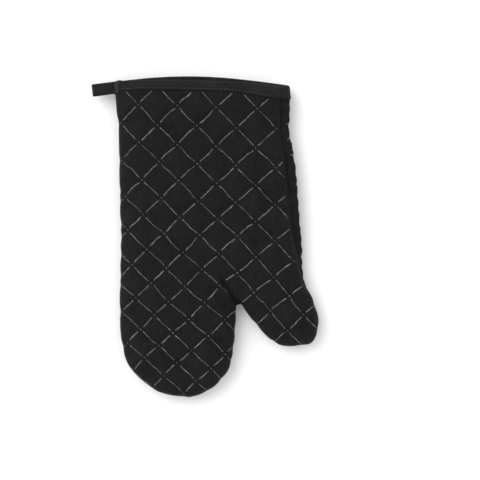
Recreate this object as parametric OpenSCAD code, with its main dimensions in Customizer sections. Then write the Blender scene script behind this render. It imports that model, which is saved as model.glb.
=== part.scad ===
// Oven mitt that lies flat on its back panel: cuff towards +Y, thumb towards +X, height along +Z.
// Two padded panels, each of shell, wadding and lining, meet along the side seam.
// Every layer is cut at the finger line and at the thumb line, where the mitt bends.

/* [Body] */
// Length from the fingertip to the cuff edge
mitt_length = 305; // [285:1:325]
// Height of the padded body as it lies
mitt_height = 26; // [24:0.5:30]
// Width of the rounded edge beside the side seam
edge_round = 28; // [26:1:30]
// How far the middle of the cuff edge stands past its corners
cuff_bow = 7.75; // [3:0.25:9]

/* [Layers] */
// Thickness of the outer cotton shell
shell_t = 0.8; // [0.6:0.1:1]
// Thickness of the wadding
wadding_t = 4; // [3:0.25:4.5]
// Thickness of the cotton lining
lining_t = 0.6; // [0.4:0.1:0.8]

/* [Silicone print] */
// Width of a printed dash
dash_w = 1.4; // [1:0.1:2]
// Height of the print above the shell
print_h = 0.5; // [0.3:0.1:0.8]
// Bare stretch between a crossing and the dashes beside it
dash_gap = 3.4; // [2.5:0.1:5]
// Width of the dot at each crossing
dot_d = 2; // [1.5:0.1:3]

/* [Cuff] */
// Width of the binding tape on each side
binding_w = 10.5; // [8:0.5:14]
// Thickness of the binding tape
binding_t = 0.8; // [0.6:0.1:1.2]
// Distance from one top stitch to the next
stitch_pitch = 3.6; // [3:0.2:6]
// Length of a top stitch
stitch_len = 2.4; // [1.5:0.1:2.6]
// Thickness of the sewing thread
thread_d = 0.5; // [0.3:0.1:0.8]

/* [Hanging loop] */
// Length of the folded tape outside the cuff
loop_len = 19; // [18:1:40]
// Width of the tape
tape_w = 11.4; // [8:0.2:16]
// Thickness of the tape
tape_t = 1; // [0.8:0.1:1.2]
// Inner radius of the fold
eye_r = 3.2; // [2.8:0.1:4]
// Turn of the loop below the cuff line
loop_tilt = 7; // [0:1:12]

/* [Hidden] */
FRONT = 1;
BACK = -1;
k = mitt_length / 305;
seam_gap = 0.1;
layer_gap = 0.1;
hinge_gap = 0.6;
seam_z = mitt_height / 2;
puff = seam_z - seam_gap / 2;
cavity = shell_t + wadding_t + lining_t + 2 * layer_gap;
rows_cuff = 10;
rows_palm = 4;
rows_tip = 11;
cols = 12;
thumb_cols = 10;
curve_steps = 6;

// Corners of the three zones: the finger line runs A to C1, the thumb line C2 to B.
A = [-82, -62] * k;
C1 = [29.5, -65.5] * k;
C2 = [33.5, -65] * k;
B = [91, -24] * k;
finger_dir = unit(C1 - A);
thumb_dir = unit(B - C2);
finger_out = [finger_dir.y, -finger_dir.x];
thumb_out = [thumb_dir.y, -thumb_dir.x];
crotch_x = (C1.x + C2.x) / 2;

// The side seam, in stretches that are smoothed into curves.
side_left = curve([[-86, 146], [-84, 119], [-82.5, 100], [-82, 35], [-81, -3], [-82, -62]] * k);
fingers_left = curve([[-82, -62], [-80, -101], [-71.5, -126], [-53, -143.5], [-37, -150], [-21, -152.5]]
                     * k);
fingers_right = curve([[29.5, -65.5], [27.5, -99], [23.6, -122], [15, -136], [2, -147], [-13, -152.3]]
                      * k);
thumb_left = curve([[33.5, -65], [47, -83], [62, -98.5], [74, -104], [95, -103.2]] * k);
thumb_right = curve([[91, -24], [94, -42], [103, -62], [107.6, -82], [103.5, -97.5]] * k);
side_right = curve([[79, 141], [78.5, 120], [78, 100], [82, 78], [85, 55], [88, 9], [91, -24]] * k);
seam_line = concat([[-88, 175] * k], side_left, fingers_left, turned(fingers_right), thumb_left,
                   turned(thumb_right), turned(side_right), [[80, 175] * k]);

function unit(v) = v / norm(v);
function lerp(a, b, t) = a + (b - a) * t;
function turned(list) = [for (i = [len(list) - 1:-1:0]) list[i]];

// A smooth curve through its points, as a fine polyline.
function spline(a, b, c, d, t) =
  0.5 * (2 * b + (c - a) * t + (2 * a - 5 * b + 4 * c - d) * t * t
         + (3 * b - a - 3 * c + d) * t * t * t);
function curve(p) = let (n = len(p) - 1) concat(
  [for (i = [0:n - 1], s = [0:curve_steps - 1])
    spline(i > 0 ? p[i - 1] : 2 * p[0] - p[1], p[i], p[i + 1],
           i < n - 1 ? p[i + 2] : 2 * p[n] - p[n - 1], s / curve_steps)],
  [p[n]]);

// Points spaced evenly along a polyline.
function run_lengths(p, i = 0, sum = 0) =
  i == len(p) - 1 ? [sum] : concat([sum], run_lengths(p, i + 1, sum + norm(p[i + 1] - p[i])));
function at_length(p, runs, s) =
  let (i = min(len([for (r = runs) if (r <= s) r]), len(p) - 1))
  lerp(p[i - 1], p[i], (s - runs[i - 1]) / (runs[i] - runs[i - 1]));
function spaced(p, steps) = along(p, [for (i = [0:steps]) i / steps]);
function along(p, shares) =
  let (runs = run_lengths(p), all = runs[len(p) - 1])
  [for (s = shares) at_length(p, runs, all * s)];

// Inward normals: turn is 1 where the cloth lies left of the direction of travel, or -1 where right.
function normals(p, turn) =
  [for (i = [0:len(p) - 1])
    let (d = unit(p[min(i + 1, len(p) - 1)] - p[max(i - 1, 0)])) turn * [-d.y, d.x]];
function with_ends(list, first, last) =
  [for (i = [0:len(list) - 1]) i == 0 ? first : i == len(list) - 1 ? last : list[i]];

// Distance to the side seam, and height of a layer's surface that lies offset inside the outer one.
function to_segment(p, a, b) =
  let (t = (p - a) * (b - a) / ((b - a) * (b - a))) norm(p - lerp(a, b, max(0, min(1, t))));
function edge_distance(p) =
  min([for (i = [1:len(seam_line) - 1]) to_segment(p, seam_line[i - 1], seam_line[i])]);
function rise(d, offset) =
  let (r = edge_round - offset, q = max(0, min(r, edge_round - d)))
  (puff - offset) * sqrt(1 - q * q / r / r);

// The body is thinner under the binding, by the tape's thickness, and swells again over pinch_run.
pinch_run = 15 * k;
pinch_start = 0.15;
function cuff_y(x) =
  let (l = side_left[0], r = side_right[0], s = max(0, min(1, (x - l.x) / (r.x - l.x))))
  lerp(l.y, r.y, s) + 4 * cuff_bow * k * s * (1 - s);
function pinch(p) =
  let (t = (cuff_y(p.x) - p.y - binding_w) / pinch_run - pinch_start)
  (binding_t + layer_gap / 2) * (1 - max(0, min(1, t)));

// Even-odd test of a point against the closed seam line.
function crosses(p, a, b) =
  (a.y > p.y) != (b.y > p.y) && p.x < (b.x - a.x) * (p.y - a.y) / (b.y - a.y) + a.x ? 1 : 0;
function inside(p) =
  let (n = len(seam_line),
       hits = [for (i = [0:n - 1]) crosses(p, seam_line[i], seam_line[(i + 1) % n])])
  hits * [for (h = hits) 1] % 2 == 1;

// Depth of a point inside a zone, from that zone's bending line.
function past_fingers(p) = (p - C1) * finger_out;
function past_thumb(p) = (p - C2) * thumb_out;
function depth(p, zone) =
  zone == "fingers" ? (p.x < crotch_x ? past_fingers(p) : -1)
  : zone == "thumb" ? (p.x > crotch_x ? past_thumb(p) : -1)
  : p.x < crotch_x ? -past_fingers(p) : -past_thumb(p);

// A zone is a ladder: rungs run from its left side to its right side.
// [left points, their inward moves, right points, their inward moves, bow of each rung,
//  whether the right side is a seam at each rung, whether the last rung is a seam, columns]
cuff_share = binding_w / norm(side_left[0] - side_left[len(side_left) - 1]);
hand_share = norm(side_right[0] - B) / (norm(side_right[0] - B) + norm(B - C2));
function hand_steps(end) =
  concat([0], [for (i = [0:rows_cuff - 1]) lerp(cuff_share, end, i / (rows_cuff - 1))]);
function hand_zone() =
  let (palm_shares = [for (i = [1:rows_palm]) lerp(hand_share, 1, i / rows_palm)],
       left_shares = concat(hand_steps(hand_share), palm_shares),
       right_shares = hand_steps(1),
       left = along(side_left, left_shares),
       upper = along(side_right, right_shares),
       rungs = rows_cuff + rows_palm)
  [left,
   with_ends(normals(left, 1), normals(left, 1)[0], finger_dir),
   concat(upper, [for (i = [1:rows_palm]) lerp(B, C2, i / rows_palm)]),
   concat(with_ends(normals(upper, -1), normals(upper, -1)[0], -thumb_dir),
          [for (i = [1:rows_palm]) lerp(-thumb_dir, [0, 1], i / rows_palm)]),
   [for (i = [0:rungs]) cuff_bow * k * pow(1 - i / rungs, 3)],
   [for (i = [0:rungs]) i <= rows_cuff || i == rungs],
   false,
   cols];
function tip_zone(left_curve, right_curve, dir, out, columns) =
  let (left = spaced(left_curve, rows_tip),
       right = spaced(right_curve, rows_tip),
       gap = hinge_gap * out)
  [[for (i = [0:rows_tip]) left[i] + (i == 0 ? gap : [0, 0])],
   with_ends(normals(left, 1), dir, normals(left, 1)[rows_tip]),
   [for (i = [0:rows_tip]) right[i] + (i == 0 ? gap : [0, 0])],
   with_ends(normals(right, -1), -dir, normals(right, -1)[rows_tip]),
   [for (i = [0:rows_tip]) 0],
   [for (i = [0:rows_tip]) true],
   true,
   columns];
hand = hand_zone();
fingers = tip_zone(fingers_left, fingers_right, finger_dir, finger_out, cols);
thumb = tip_zone(thumb_left, thumb_right, thumb_dir, thumb_out, thumb_cols);

function column(z, j) = (1 - cos(180 * j / z[7])) / 2;
function spot(z, offset, i, s) =
  lerp(z[0][i] + offset * z[1][i], z[2][i] + offset * z[3][i], s) + [0, 4 * z[4][i] * s * (1 - s)];
function on_seam(z, i, j) = j == 0 || (j == z[7] && z[5][i]) || (z[6] && i == len(z[0]) - 1);
function vertex(z, offset, i, j, face) =
  let (p = spot(z, offset, i, column(z, j)),
       h = on_seam(z, i, j) ? 0 : max(0.3 - 0.03 * offset, rise(edge_distance(p), offset) - pinch(p)))
  [p.x, p.y, seam_z + face * (seam_gap / 2 + h)];

function quad(a, b, c, d, face) = face > 0 ? [[a, b, c], [a, c, d]] : [[a, c, b], [a, d, c]];
function flatten(list) = [for (part = list) each part];

// One layer of one zone, closed between two offset surfaces.
module layer(z, outer, inner, face) {
  rungs = len(z[0]) - 1;
  n = z[7];
  in = (rungs + 1) * (n + 1);
  points = [for (offset = [outer, inner], i = [0:rungs], j = [0:n]) vertex(z, offset, i, j, face)];
  function at(i, j) = i * (n + 1) + j;
  faces = concat(
    flatten([for (i = [0:rungs - 1], j = [0:n - 1])
      quad(at(i, j), at(i, j + 1), at(i + 1, j + 1), at(i + 1, j), face)]),
    flatten([for (i = [0:rungs - 1], j = [0:n - 1])
      quad(in + at(i, j), in + at(i, j + 1), in + at(i + 1, j + 1), in + at(i + 1, j), -face)]),
    flatten([for (i = [0:rungs - 1])
      quad(at(i, 0), at(i + 1, 0), in + at(i + 1, 0), in + at(i, 0), face)]),
    flatten([for (i = [0:rungs - 1])
      quad(at(i, n), at(i + 1, n), in + at(i + 1, n), in + at(i, n), -face)]),
    flatten([for (j = [0:n - 1])
      quad(at(0, j), at(0, j + 1), in + at(0, j + 1), in + at(0, j), -face)]),
    flatten([for (j = [0:n - 1])
      quad(at(rungs, j), at(rungs, j + 1), in + at(rungs, j + 1), in + at(rungs, j), face)]));
  polyhedron(points, faces);
}

module shell(z, face) {
  color("#242426") layer(z, 0, shell_t, face);
}

module wadding(z, face) {
  color("#e8e6df") layer(z, shell_t + layer_gap, shell_t + layer_gap + wadding_t, face);
}

module lining(z, face) {
  color("#1d1d1f") layer(z, cavity - lining_t, cavity, face);
}

// Flat bars and dots that follow the padded surface. Each is a sweep of one four-cornered section.
function surface_z(p, offset, face) =
  let (z = seam_z + face * (seam_gap / 2 + rise(edge_distance(p), offset) - pinch(p))) max(0, z);
function section(p, side, lower, upper, face) =
  [for (c = [[-side, lower], [-side, upper], [side, upper], [side, lower]])
    let (q = p + c[0]) [q.x, q.y, surface_z(q, c[1], face)]];
function bar_points(b, steps, lower, upper, face) =
  let (side = unit([b[0].y - b[1].y, b[1].x - b[0].x]) * b[2] / 2)
  flatten([for (i = [0:steps]) section(lerp(b[0], b[1], i / steps), side, lower, upper, face)]);
function bar_faces(start, steps, face) =
  let (end = start + 4 * steps)
  concat(quad(start, start + 3, start + 2, start + 1, face),
         quad(end, end + 1, end + 2, end + 3, face),
         flatten([for (i = [0:steps - 1], c = [0:3])
           let (a = start + 4 * i, d = (c + 1) % 4) quad(a + c, a + d, a + 4 + d, a + 4 + c, face)]));
module bars(list, steps, lower, upper, face) {
  points = flatten([for (b = list) bar_points(b, steps, lower, upper, face)]);
  faces = flatten([for (i = [0:len(list) - 1]) bar_faces(4 * (steps + 1) * i, steps, face)]);
  polyhedron(points, faces);
}

// The lattice: crossings at whole and at half steps (u across, v down), closer towards the fingertip.
// The print keeps clear of the seam, the bending lines, the binding and the crotch.
print_margin = 1.6;
crotch_margin = 13;
print_sink = 0.35;
least_dash = 4;
function crossing(u, v) =
  k * [-64.5 + (36.3 - 0.8 * v) * u + 0.9 * v + 0.3 * v * v,
       124.5 - 36.2 * v + 0.5 * v * v - (1.3 + 0.35 * v) * u];
crossings = [for (h = [0, 0.5], u = [-1:6], v = [-1:8]) [u + h, v + h]];
function printable(p, zone) =
  depth(p, zone) > print_margin && inside(p) && edge_distance(p) > print_margin
  && p.y < cuff_y(p.x) - binding_w - dash_w && norm(p - C1) > crotch_margin;
function clipped(a, b, zone) =
  let (ok = [for (t = [0:0.1:1]) if (printable(lerp(a, b, t), zone)) t])
  len(ok) < 2 ? [] : [[lerp(a, b, min(ok)), lerp(a, b, max(ok)), dash_w]];
function dash(a, b, zone) =
  let (d = unit(b - a) * dash_gap)
  [for (s = clipped(a + d, b - d, zone)) if (norm(s[1] - s[0]) > least_dash) s];
function dashes(zone) =
  flatten([for (c = crossings, way = [-0.5, 0.5])
    dash(crossing(c.x, c.y), crossing(c.x + way, c.y + 0.5), zone)]);
function dots(zone) =
  [for (c = crossings) let (p = crossing(c.x, c.y)) if (printable(p, zone))
    [p - [dot_d / 2, 0], p + [dot_d / 2, 0], dot_d]];

module silicone_print(zone, face) {
  color("#77777a") {
    bars(dashes(zone), 2, print_sink, -print_h, face);
    bars(dots(zone), 1, print_sink, -print_h, face);
  }
}

// The thread of the side seam, a thin cord in the shell's edge, along one open route.
module seam_thread(p, n) {
  r = thread_d / 2;
  last = len(p) - 1;
  points = [for (i = [0:last], c = [[r, 0], [0, r], [-r, 0], [0, -r]])
    let (q = p[i] + n[i] * (shell_t / 2 + c[0])) [q.x, q.y, seam_z + c[1]]];
  faces = concat([[0, 1, 2], [0, 2, 3]],
    [[4 * last, 4 * last + 2, 4 * last + 1], [4 * last, 4 * last + 3, 4 * last + 2]],
    flatten([for (i = [0:last - 1], c = [0:3])
      let (a = 4 * i, d = (c + 1) % 4) [[a + c, a + 4 + c, a + 4 + d], [a + c, a + 4 + d, a + d]]]));
  color("#1a1a1c") polyhedron(points, faces);
}

// The route round the tip of a zone starts and ends a little inside its bending line.
module tip_thread(z) {
  last = len(z[0]) - 1;
  seam_thread(concat([for (i = [0:last]) z[0][i]], [for (i = [last:-1:0]) z[2][i]]),
              concat([for (i = [0:last]) z[1][i]], [for (i = [last:-1:0]) z[3][i]]));
}

module side_seam_thread_hand() {
  seam_thread(hand[0], hand[1]);
  seam_thread([for (i = [rows_cuff:-1:0]) hand[2][i]], [for (i = [rows_cuff:-1:0]) hand[3][i]]);
}

// The binding is a folded tape: outside, over the raw edges, and down inside the mouth.
module cuff_binding() {
  outer = -binding_t - layer_gap / 2;
  inner = cavity + layer_gap / 2 + binding_t;
  fold = [[outer, 1, 0], [outer, 0, binding_t], [inner, 0, binding_t], [inner, 1, 0],
          [inner - binding_t, 1, 0], [inner - binding_t, 0, layer_gap / 2],
          [outer + binding_t, 0, layer_gap / 2], [outer + binding_t, 1, 0]];
  ring = concat([for (j = [0:cols]) [j, FRONT]], [for (j = [cols - 1:-1:1]) [j, BACK]]);
  stations = len(ring);
  corners = len(fold);
  points = [for (r = ring, f = fold) vertex(hand, f[0], f[1], r[0], r[1]) + [0, f[2], 0]];
  faces = flatten([for (i = [0:stations - 1], c = [0:corners - 1])
    let (a = i * corners, b = (i + 1) % stations * corners, d = (c + 1) % corners)
    [[a + c, b + c, b + d], [a + c, b + d, a + d]]]);
  color("#27272a") polyhedron(points, faces);
}

// Top stitches near the lower edge of the binding, front and back.
stitch_inset = 2;
function stitch_row(face) =
  let (l = spot(hand, 0, 1, 0).x,
       r = spot(hand, 0, 1, 1).x,
       n = floor((r - l - 12) / stitch_pitch))
  [for (i = [0:n])
    let (x = l + 6 + i * stitch_pitch, y = cuff_y(x) - binding_w + stitch_inset)
    [[x - stitch_len / 2, y], [x + stitch_len / 2, y], thread_d]];
module binding_stitching() {
  for (face = [FRONT, BACK])
    color("#3a3a3d") bars(stitch_row(face), 1, -binding_t + 0.3, -binding_t - thread_d, face);
}

// The loop's sewn end lies in the binding at the outer corner of the cuff.
loop_y = 141.3 * k;
loop_root = [-87.9 * k, loop_y];
module loop_bartack() {
  rows = 4;
  color("#4a4a4d")
    bars([for (i = [0:rows - 1]) let (y = loop_y - tape_w / 3 + i * tape_w / 4.5)
      [loop_root + [4, y - loop_y], loop_root + [8, y - loop_y], thread_d]],
      2, -binding_t + 0.3, -binding_t - thread_d, FRONT);
}

// A flat tape folded on itself, with an open eye at the fold: arcs that run into straight sides.
arc_steps = 32;
function fold_arc(r, apex) =
  let (open = acos(r / apex))
  [for (i = [0:arc_steps]) let (t = lerp(open, 360 - open, i / arc_steps)) r * [cos(t), sin(t)]];
module hanging_loop() {
  outer_r = eye_r + tape_t;
  reach = loop_len - outer_r;
  sewn = 5;
  outline = concat(fold_arc(outer_r, reach + sewn), [[reach - sewn, -tape_t], [reach, -tape_t],
                   [reach, tape_t], [reach - sewn, tape_t]]);
  eye = concat(fold_arc(eye_r, reach - sewn), [[reach - sewn, 0]]);
  color("#2a2a2c")
    translate([loop_root.x, loop_root.y, seam_z]) rotate([0, 0, loop_tilt]) rotate([90, 0, 0])
      linear_extrude(tape_w, center = true) translate([-reach, 0])
        polygon(concat(outline, eye), [[for (i = [0:len(outline) - 1]) i],
                [for (i = [0:len(eye) - 1]) len(outline) + i]]);
}

shell(hand, FRONT);  // front_shell_hand
shell(hand, BACK);  // back_shell_hand
wadding(hand, FRONT);  // front_wadding_hand
wadding(hand, BACK);  // back_wadding_hand
lining(hand, FRONT);  // front_lining_hand
lining(hand, BACK);  // back_lining_hand
silicone_print("hand", FRONT);  // front_silicone_print_hand
silicone_print("hand", BACK);  // back_silicone_print_hand
side_seam_thread_hand();
cuff_binding();
binding_stitching();
loop_bartack();
shell(fingers, FRONT);  // front_shell_fingers
shell(fingers, BACK);  // back_shell_fingers
wadding(fingers, FRONT);  // front_wadding_fingers
wadding(fingers, BACK);  // back_wadding_fingers
lining(fingers, FRONT);  // front_lining_fingers
lining(fingers, BACK);  // back_lining_fingers
silicone_print("fingers", FRONT);  // front_silicone_print_fingers
silicone_print("fingers", BACK);  // back_silicone_print_fingers
tip_thread(fingers);  // side_seam_thread_fingers
shell(thumb, FRONT);  // front_shell_thumb
shell(thumb, BACK);  // back_shell_thumb
wadding(thumb, FRONT);  // front_wadding_thumb
wadding(thumb, BACK);  // back_wadding_thumb
lining(thumb, FRONT);  // front_lining_thumb
lining(thumb, BACK);  // back_lining_thumb
silicone_print("thumb", FRONT);  // front_silicone_print_thumb
silicone_print("thumb", BACK);  // back_silicone_print_thumb
tip_thread(thumb);  // side_seam_thread_thumb
hanging_loop();
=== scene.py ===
import math

import bpy
import numpy as np
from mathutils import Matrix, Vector, noise
from mathutils.bvhtree import BVHTree
from mathutils.geometry import delaunay_2d_cdt


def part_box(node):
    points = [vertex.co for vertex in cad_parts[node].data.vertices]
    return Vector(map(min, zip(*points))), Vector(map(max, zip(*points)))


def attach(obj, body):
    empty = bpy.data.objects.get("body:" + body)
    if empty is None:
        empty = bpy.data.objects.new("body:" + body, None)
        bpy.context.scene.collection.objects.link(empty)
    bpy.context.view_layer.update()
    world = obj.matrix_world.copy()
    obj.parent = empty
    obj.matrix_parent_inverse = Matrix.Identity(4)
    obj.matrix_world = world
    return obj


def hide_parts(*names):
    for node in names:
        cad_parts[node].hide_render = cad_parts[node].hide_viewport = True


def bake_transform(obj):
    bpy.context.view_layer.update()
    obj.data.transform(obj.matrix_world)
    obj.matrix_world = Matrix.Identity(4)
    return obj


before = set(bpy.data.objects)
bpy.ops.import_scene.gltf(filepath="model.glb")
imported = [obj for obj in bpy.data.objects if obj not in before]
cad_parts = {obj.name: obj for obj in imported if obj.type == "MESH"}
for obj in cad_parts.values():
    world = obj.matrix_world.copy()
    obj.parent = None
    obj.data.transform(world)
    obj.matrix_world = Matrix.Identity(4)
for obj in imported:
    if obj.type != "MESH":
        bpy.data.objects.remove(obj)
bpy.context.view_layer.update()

# -------- sizes, in millimetres in the CAD's frame
MM = 0.001
FRONT, BACK = 1, -1
# Height of the side seam, and how far each panel rises or falls from it.
SEAM_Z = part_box("cuff_binding")[1].z / MM / 2
PUFF = SEAM_Z - 0.05
# Width over which a panel rounds off at the side seam.
EDGE_ROUND = 28.0
# Depths of the layers under a panel's outer surface, from and to.
SHELL_DEPTHS = (0, 0.8)
WADDING_DEPTHS = (1.7, 4.9)
LINING_DEPTHS = (5.0, 5.6)
# Rise of the cuff edge's middle over its corners, and how far the front's edge lies back from the back's.
CUFF_BOW = 7.75
FRONT_DROP = 5.0

# The side seam in the four stretches that part.scad uses, and the corners of its zones.
SIDE_LEFT = [(-86.9, 146), (-84.9, 119), (-83, 100), (-82, 35), (-81, -3), (-82, -62)]
FINGERS_LEFT = [(-82, -62), (-80, -101), (-71.5, -126), (-53, -143.5), (-37, -150), (-21, -152.5)]
FINGERS_RIGHT = [(29.5, -65.5), (27.5, -99), (23.6, -122), (15, -136), (2, -147), (-13, -152.3)]
THUMB_LEFT = [(33.5, -65), (47, -83), (62, -98.5), (74, -104), (95, -103.2)]
THUMB_RIGHT = [(91, -24), (94, -42), (103, -62), (107.6, -82), (103.5, -97.5)]
SIDE_RIGHT = [(79, 141), (78.5, 120), (78, 100), (82, 78), (85, 55), (88, 9), (91, -24)]
A, C1 = np.array((-82.0, -62.0)), np.array((29.5, -65.5))
C2, B = np.array((33.5, -65.0)), np.array((91.0, -24.0))


def unit(v):
    """The vector at a length of 1."""
    return v / np.linalg.norm(v)


def turn(a, b):
    """The cross product of plane vectors."""
    return a[..., 0] * b[..., 1] - a[..., 1] * b[..., 0]


# The way out to the thumb's tip, square to the line C2-B where the thumb zone begins, and the crotch
# between C1 and C2.
THUMB_OUT = unit(np.array(((B - C2)[1], -(B - C2)[0])))
CROTCH = (C1 + C2) / 2


def smooth(t):
    """An even rise from 0 to 1 with soft ends."""
    t = np.clip(t, 0, 1)
    return t * t * (3 - 2 * t)


def curve(points, steps=12):
    """A smooth curve through its points, as a fine polyline."""
    p = np.array(points, float)
    p = np.vstack([2 * p[0] - p[1], p, 2 * p[-1] - p[-2]])
    out = []
    for i in range(1, len(p) - 2):
        a, b, c, d = p[i - 1 : i + 3]
        squared, cubed = 2 * a - 5 * b + 4 * c - d, 3 * b - a - 3 * c + d
        for t in np.arange(steps) / steps:
            out.append(0.5 * (2 * b + (c - a) * t + squared * t**2 + cubed * t**3))
    return np.array(out + [p[-2]])


def spaced(line, gap):
    """Points evenly along a polyline, about gap apart."""
    runs = np.concatenate([[0], np.cumsum(np.linalg.norm(np.diff(line, axis=0), axis=1))])
    s = np.linspace(0, runs[-1], max(2, round(runs[-1] / gap) + 1))
    return np.column_stack([np.interp(s, runs, line[:, k]) for k in (0, 1)])


def cuff_y(x):
    """The bowed cuff edge of the flat panel."""
    (x0, y0), (x1, y1) = SIDE_LEFT[0], SIDE_RIGHT[0]
    s = np.clip((x - x0) / (x1 - x0), 0, 1)
    return y0 + (y1 - y0) * s + 4 * CUFF_BOW * s * (1 - s)


# The whole side seam, from cuff to cuff round the fingers and the thumb, with a corner at the crotch.
SEAM = np.vstack([
    curve(SIDE_LEFT + FINGERS_LEFT[1:] + FINGERS_RIGHT[::-1]),
    curve(THUMB_LEFT + THUMB_RIGHT[::-1] + SIDE_RIGHT[::-1][1:]),
])
MOUTH_LEFT, MOUTH_WIDTH = -86, 165


def cuff_line(gap):
    """Points along the flat cuff edge from right to left, about gap apart."""
    x = np.linspace(SIDE_RIGHT[0][0], SIDE_LEFT[0][0], round(MOUTH_WIDTH / gap) + 1)
    return np.column_stack([x, cuff_y(x)])


# -------- the padded surface
# The side seam drawn on past the cuff, so that points at the mouth still measure to the sides.
EXTENDED = np.vstack([[(-88, 190)], SEAM, [(80, 190)]])
# How many points are measured in one go.
AT_ONCE = 4000


def nearest(p):
    """Distance to the side seam, the inward direction and the run along the seam, for each point."""
    line = spaced(EXTENDED, 2.5)
    a, b = line[:-1], line[1:]
    ab = b - a
    runs = np.concatenate([[0], np.cumsum(np.linalg.norm(ab, axis=1))])
    out = np.empty((len(p), 4))
    for start in range(0, len(p), AT_ONCE):
        q = p[start : start + AT_ONCE, None, :]
        t = np.clip(((q - a) * ab).sum(2) / (ab * ab).sum(1), 0, 1)
        foot = a + ab * t[..., None]
        d = np.linalg.norm(q - foot, axis=2)
        k = d.argmin(1)
        rows = np.arange(len(k))
        way = q[:, 0] - foot[rows, k]
        n = np.column_stack([-ab[k, 1], ab[k, 0]])
        n /= np.linalg.norm(n, axis=1)[:, None]
        far = d[rows, k] > 0.3
        n[far] = way[far] / d[rows, k][far, None]
        run = runs[k] + t[rows, k] * np.linalg.norm(ab[k], axis=1)
        out[start : start + AT_ONCE] = np.column_stack([d[rows, k], n, run])
    return out[:, 0], out[:, 1:3], out[:, 3]


# The panel's rounded edge is a quarter of an ellipse: its angles, and its length up to each of them.
PHI = np.linspace(0, math.pi / 2, 200)
ARC = np.concatenate([[0], np.cumsum(np.hypot(
    np.diff(EDGE_ROUND * (1 - np.cos(PHI))), np.diff(PUFF * np.sin(PHI))))])


def roll(y):
    """How far the back panel rolls round the thumb side onto the front, as a length along the cloth."""
    return np.interp(y, [-70, -24, 9, 27, 66, 100, 130], [0, 5, 9.1, 10.6, 10.8, 10.1, 11.4])


def thumb_side(p, n):
    """1 beside the seam that faces the thumb side, fading to 0 elsewhere."""
    return smooth((p[:, 0] - 20) / 30) * smooth((0.2 - n[:, 0]) / 0.6)


def rolled(p, n):
    """Where the thumb side is rolled over: 1 beside that seam, fading out beyond the thumb."""
    return thumb_side(p, n) * smooth((p[:, 1] + 60) / 60)


def padded_surface(p, face):
    """The smooth padded body over points of the flat panel: an elliptical edge and a flat middle."""
    d, n, _ = nearest(p)
    phi = np.arccos(1 - np.minimum(d, EDGE_ROUND) / EDGE_ROUND)
    along = np.interp(phi, PHI, ARC) + np.maximum(d - EDGE_ROUND, 0)
    shifted = face * along + roll(p[:, 1]) * thumb_side(p, n) * (1 - smooth(along / 55))
    size = np.abs(shifted)
    bend = np.interp(size, ARC, PHI)
    inset = EDGE_ROUND * (1 - np.cos(bend)) + np.maximum(size - ARC[-1], 0)
    q = p + n * (inset - d)[:, None]
    height = np.sign(shifted) * PUFF * np.sin(bend)
    drop = smooth((p[:, 1] - 60) / 85) * FRONT_DROP * (face > 0)
    s = np.clip((p[:, 0] - MOUTH_LEFT) / MOUTH_WIDTH, 0, 1)
    return np.column_stack([q[:, 0], q[:, 1] - drop * 4 * s * (1 - s), SEAM_Z + height])


# -------- the printed lattice
def crossing(u, v):
    """A lattice crossing: whole or half steps across (u) and down (v), closer towards the fingertip."""
    return np.array([
        -64.5 + (36.3 - 0.8 * v) * u + 0.9 * v + 0.3 * v * v,
        124.5 - 36.2 * v + 0.5 * v * v - (1.3 + 0.35 * v) * u,
    ])


def flat_under(view, face):
    """The flat cloth's points that come to lie at the given places, seen from above."""
    flat = view.copy()
    for _ in range(7):
        flat = flat + view - padded_surface(flat, face)[:, :2]
    return flat


def inside(p, loop):
    """Which of the points lie inside the closed loop."""
    x, y = p[:, 0], p[:, 1]
    hit = np.zeros(len(p), bool)
    for (x1, y1), (x2, y2) in zip(loop, np.roll(loop, -1, axis=0)):
        if y1 != y2:
            hit ^= ((y1 > y) != (y2 > y)) & (x < (x2 - x1) * (y - y1) / (y2 - y1) + x1)
    return hit


PANEL = np.vstack([SEAM, cuff_line(3)[1:-1]])
LATTICE = [(u + h, v + h) for h in (0, 0.5) for u in range(-1, 7) for v in range(-1, 9)]
# How clear the print keeps of the side seam, the crotch crease and the binding.
SEAM_MARGIN, CREASE_MARGIN, BINDING_MARGIN = 1.2, 2.5, 0.9
# Where the cloth is pulled askew: centre, shift and reach of each pull.
PULLS = [((24, -2), (0.4, 2.6), 24), ((14, -46), (0, 3.4), 18), ((18, -80), (3.8, 2.8), 24),
         ((-48, -124), (-1.6, 2.4), 28)]
# Small wrinkles everywhere: how far they shift the print, and their size.
WRINKLE_SHIFT, WRINKLE_SIZE = 1.3, 14


def wave(p, scale, seed):
    """Smooth noise between about -1 and 1 at each point, its bumps about scale across."""
    return np.array([noise.noise(Vector((x / scale, y / scale, seed))) for x, y in p])


def pulled(p):
    """The lattice as it lies: stretched towards the rolled thumb side, and pulled askew in places."""
    x, y = p.T
    stretch = (0.8 + 5.6 * ((x + 60) / 127) ** 2) * smooth((y + 71) / 48)
    p = p + np.column_stack([stretch, 0 * x])
    p = p + WRINKLE_SHIFT * np.column_stack([wave(p, WRINKLE_SIZE, seed) for seed in (0.7, 8.3)])
    return p + sum(np.exp(-(((p - centre) ** 2).sum(-1, keepdims=True)) / reach**2) * shift
                   for centre, shift, reach in PULLS)


# The crease that runs from the crotch up onto the front of the hand ends here.
CREASE_END = np.array((13.5, -38.0))


def along_crease(p):
    """Share of the way along the crotch crease, distance from it, and side of it."""
    way = CREASE_END - CROTCH
    t = np.clip((p - CROTCH) @ way / (way @ way), 0, 1)
    off = p - (CROTCH + t[:, None] * way)
    return t, np.linalg.norm(off, axis=1), np.sign(off @ np.array([-way[1], way[0]]))


def binding_width(x, face):
    """Width of the binding on the outside: narrower on the front, which lies a little back."""
    return 11.5 if face < 0 else 8.4 + 2.4 * smooth((x - 20) / 50)


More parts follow.
